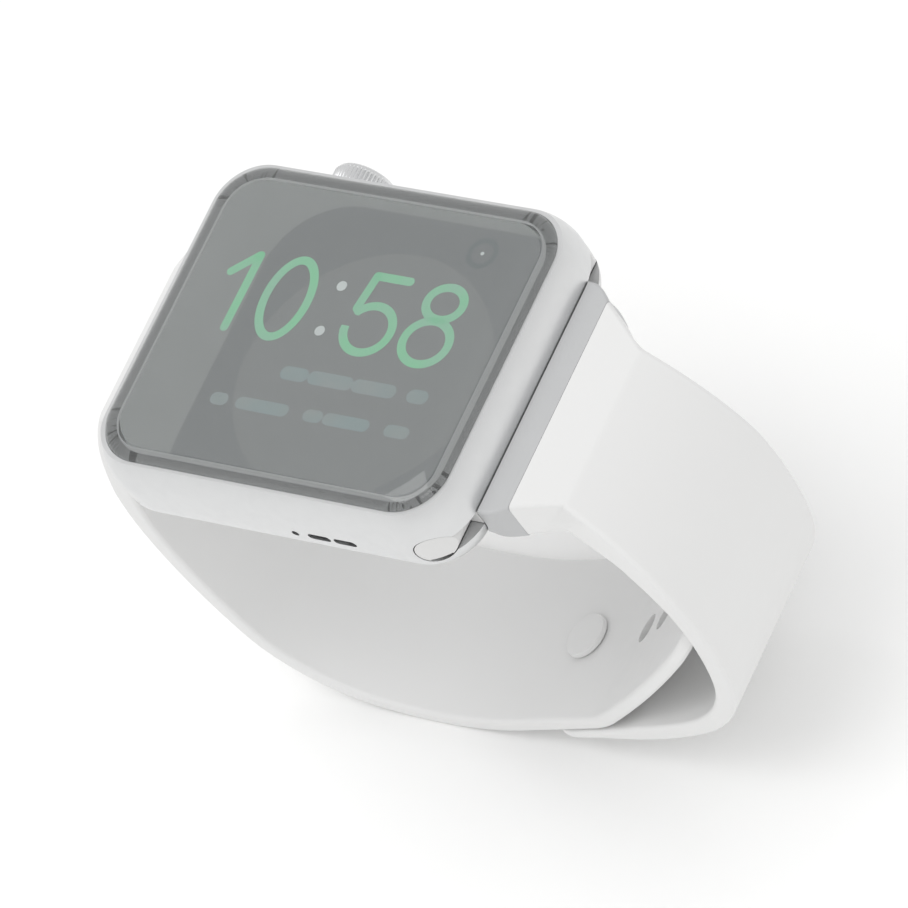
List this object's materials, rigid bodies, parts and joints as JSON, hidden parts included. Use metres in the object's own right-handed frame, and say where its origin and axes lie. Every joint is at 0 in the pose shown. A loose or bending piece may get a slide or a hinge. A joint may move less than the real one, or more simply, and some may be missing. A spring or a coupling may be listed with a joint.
{
  "type": "smartwatch",
  "caption": "Square wrist smartwatch with a curved glass face, turning crown, side button, back sensors and a closed elastomer strap loop.",
  "frame": {"origin": "middle of the back crystal's flat, the outermost point of the watch's back", "axes": "+Z out of the display, +Y towards 12 o'clock, +X towards the crown at 3 o'clock; the strap loop hangs below in -Z"},
  "size_m": [0.0382, 0.068, 0.0627],
  "materials": {
    "case_metal": "fine bead-blasted silver anodising",
    "glass_cover": "polished, curved edge",
    "dark_ceramic": "polished dark back cover",
    "dark_crystal": "polished dark sensor window",
    "strap_rubber": "smooth matte ivory elastomer",
    "lug_plastic": "matte ivory polymer over a metal core",
    "steel": "fine turned and stamped stainless steel",
    "copper": "bare copper wire, lacquered",
    "board": "solder-masked laminate",
    "black_plastic": "moulded black polymer",
    "black_rubber": "soft black seal",
    "ferrite": "sintered ferrite",
    "foil": "laminated pouch foil",
    "flex": "amber polyimide ribbon",
    "panel": "dark self-lit panel",
    "emitter": "clear moulded emitter windows"
  },
  "bodies": {
    "case_unit": {"case": "case_metal", "case_back": "dark_ceramic", "back_seal": "black_rubber", "sensor_crystal": "dark_crystal", "sensor_board": "board", "sensor_leds": "emitter", "charging_coil": "copper", "coil_shield": "ferrite", "alignment_magnet": "steel", "sensor_cable": "flex", "battery": "foil", "haptic_housing": "steel", "haptic_coil": "copper", "haptic_springs": "steel", "speaker": "black_plastic", "speaker_mesh": "steel", "microphone": "steel", "logic_board": "board", "system_package": "black_plastic", "board_screws": "steel", "display_cable": "flex", "display_backplate": "steel", "display_panel": "panel", "display_gasket": "black_rubber", "cover_glass": "glass_cover", "crown_bush": "steel", "crown_seal": "black_rubber", "crown_switch": "black_plastic", "side_button_bracket": "steel", "side_button_switch": "black_plastic"},
    "haptic": {"haptic_mass": "steel"},
    "crown_carrier": {"crown_collar": "steel"},
    "crown_knob": {"crown_shaft": "steel", "crown_encoder": "black_plastic", "crown": "case_metal", "crown_cap": "case_metal"},
    "side_key": {"side_button": "case_metal", "side_button_clip": "steel"},
    "release_12": {"release_button_12": "case_metal", "release_spring_12": "steel"},
    "release_6": {"release_button_6": "case_metal", "release_spring_6": "steel"},
    "band_12": {"lug_connector_12": "lug_plastic", "strap_12": "strap_rubber"},
    "band_6": {"lug_connector_6": "lug_plastic", "strap_6": "strap_rubber", "fastening_stud": "steel"},
    "detent_12": {"detent_pin_12": "steel"},
    "detent_6": {"detent_pin_6": "steel"}
  },
  "joints": [
    {"name": "crown_press", "type": "slide", "parent": "case_unit", "child": "crown_carrier", "axis": [1, 0, 0], "range_m": [-0.00035, 0], "stiffness_N_per_m": 2500, "springref_m": 0.0002},
    {"name": "crown_turn", "type": "hinge", "parent": "crown_carrier", "child": "crown_knob", "pos_m": [0.0175, 0.008, 0.0053], "axis": [1, 0, 0], "continuous": true},
    {"name": "side_button_press", "type": "slide", "parent": "case_unit", "child": "side_key", "axis": [1, 0, 0], "range_m": [-0.00025, 0], "stiffness_N_per_m": 3000, "springref_m": 0.0002},
    {"name": "release_12_press", "type": "slide", "parent": "case_unit", "child": "release_12", "axis": [0, 0, 1], "range_m": [0, 0.0003], "stiffness_N_per_m": 2500, "springref_m": -0.0003},
    {"name": "release_6_press", "type": "slide", "parent": "case_unit", "child": "release_6", "axis": [0, 0, 1], "range_m": [0, 0.0003], "stiffness_N_per_m": 2500, "springref_m": -0.0003},
    {"name": "band_6_slide", "type": "slide", "parent": "case_unit", "child": "band_6", "axis": [1, 0, 0], "range_m": [-0.034, 0.034]},
    {"name": "band_12_slide", "type": "slide", "parent": "case_unit", "child": "band_12", "axis": [1, 0, 0], "range_m": [-0.034, 0.034]},
    {"name": "detent_12_lift", "type": "slide", "parent": "band_12", "child": "detent_12", "axis": [0, 0, 1], "range_m": [0, 0.0003], "stiffness_N_per_m": 400, "springref_m": -0.0002},
    {"name": "detent_6_lift", "type": "slide", "parent": "band_6", "child": "detent_6", "axis": [0, 0, 1], "range_m": [0, 0.0003], "stiffness_N_per_m": 400, "springref_m": -0.0002},
    {"name": "haptic_travel", "type": "slide", "parent": "case_unit", "child": "haptic", "axis": [0, 1, 0], "range_m": [-0.0003, 0.0003], "stiffness_N_per_m": 1500}
  ],
  "couplings": [
    {"joint": "band_12_slide", "follows": "band_6_slide", "ratio": 1},
    {"joint": "detent_12_lift", "follows": "release_12_press", "ratio": 1},
    {"joint": "detent_6_lift", "follows": "release_6_press", "ratio": 1}
  ]
}
